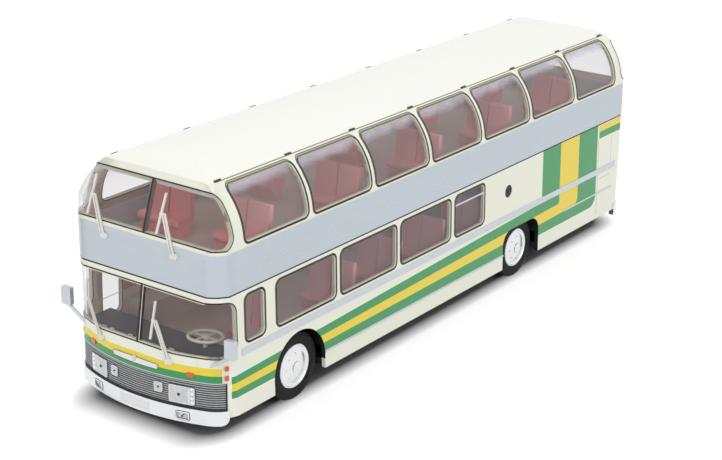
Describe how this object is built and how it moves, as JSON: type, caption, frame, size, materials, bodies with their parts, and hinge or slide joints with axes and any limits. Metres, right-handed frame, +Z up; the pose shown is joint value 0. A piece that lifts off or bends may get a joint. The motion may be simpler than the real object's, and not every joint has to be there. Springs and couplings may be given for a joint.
{
  "type": "scale model double-deck coach",
  "caption": "Collector's scale model of a double-deck touring coach with cove-curved upper glazing, silver waist band, seated decks and freely rolling axles.",
  "frame": {"origin": "centre of the bounding box on the ground under the tyres", "axes": "+X towards the nose, +Y towards the coach's left side, +Z up"},
  "size_m": [0.276, 0.0778, 0.0889],
  "materials": {
    "cream_paint": "gloss cream enamel with green and yellow stripes",
    "roof_paint": "gloss off-white enamel",
    "band_paint": "satin silver-blue enamel with fine ribs",
    "clear_glazing": "clear moulded glazing, faint grey tint",
    "seat_plastic": "dull red moulded seats",
    "deck_plastic": "tan-brown moulded decks",
    "dash_plastic": "dark grey",
    "ivory_plastic": "cream moulding",
    "black_plastic": "satin black",
    "chassis_plastic": "satin black base",
    "bright_plate": "bright plated trim",
    "silver_trim": "silver trim",
    "lamp_lens": "clear lens over silver",
    "lens_plastic": "orange and red lenses",
    "tyre": "soft black rubber",
    "axle_steel": "turned steel"
  },
  "bodies": {
    "body": {"chassis_plate": "chassis_plastic", "lower_left": "cream_paint", "lower_right": "cream_paint", "lower_front": "cream_paint", "lower_rear": "cream_paint", "band_left": "band_paint", "band_right": "band_paint", "band_front": "band_paint", "band_rear": "band_paint", "upper_left": "cream_paint", "upper_right": "cream_paint", "upper_front": "cream_paint", "upper_rear": "cream_paint", "roof": "roof_paint", "glass_low_left": "clear_glazing", "glass_low_right": "clear_glazing", "glass_up_left": "clear_glazing", "glass_up_right": "clear_glazing", "screen_low": "clear_glazing", "screen_up": "clear_glazing", "rear_glass": "clear_glazing", "lower_deck": "deck_plastic", "upper_deck": "deck_plastic", "seats_low": "seat_plastic", "seats_up": "seat_plastic", "dashboard": "dash_plastic", "steering_wheel": "ivory_plastic", "grille": "black_plastic", "headlamps": "lamp_lens", "front_bumper": "bright_plate", "rear_bumper": "bright_plate", "markers": "lens_plastic", "plates": "ivory_plastic", "seals": "black_plastic", "trim_left": "silver_trim", "trim_right": "silver_trim", "mirror_left": "silver_trim", "mirror_right": "silver_trim", "wipers": "silver_trim"},
    "front_wheels": {"front_axle": "axle_steel", "front_tyres": "tyre", "front_caps": "bright_plate"},
    "rear_wheels": {"rear_axle": "axle_steel", "rear_tyres": "tyre", "rear_caps": "bright_plate"}
  },
  "joints": [
    {"name": "front_roll", "type": "hinge", "parent": "body", "child": "front_wheels", "pos_m": [0.092, 0, 0.0124], "axis": [0, 1, 0], "continuous": true},
    {"name": "rear_roll", "type": "hinge", "parent": "body", "child": "rear_wheels", "pos_m": [-0.052, 0, 0.0124], "axis": [0, 1, 0], "continuous": true}
  ]
}
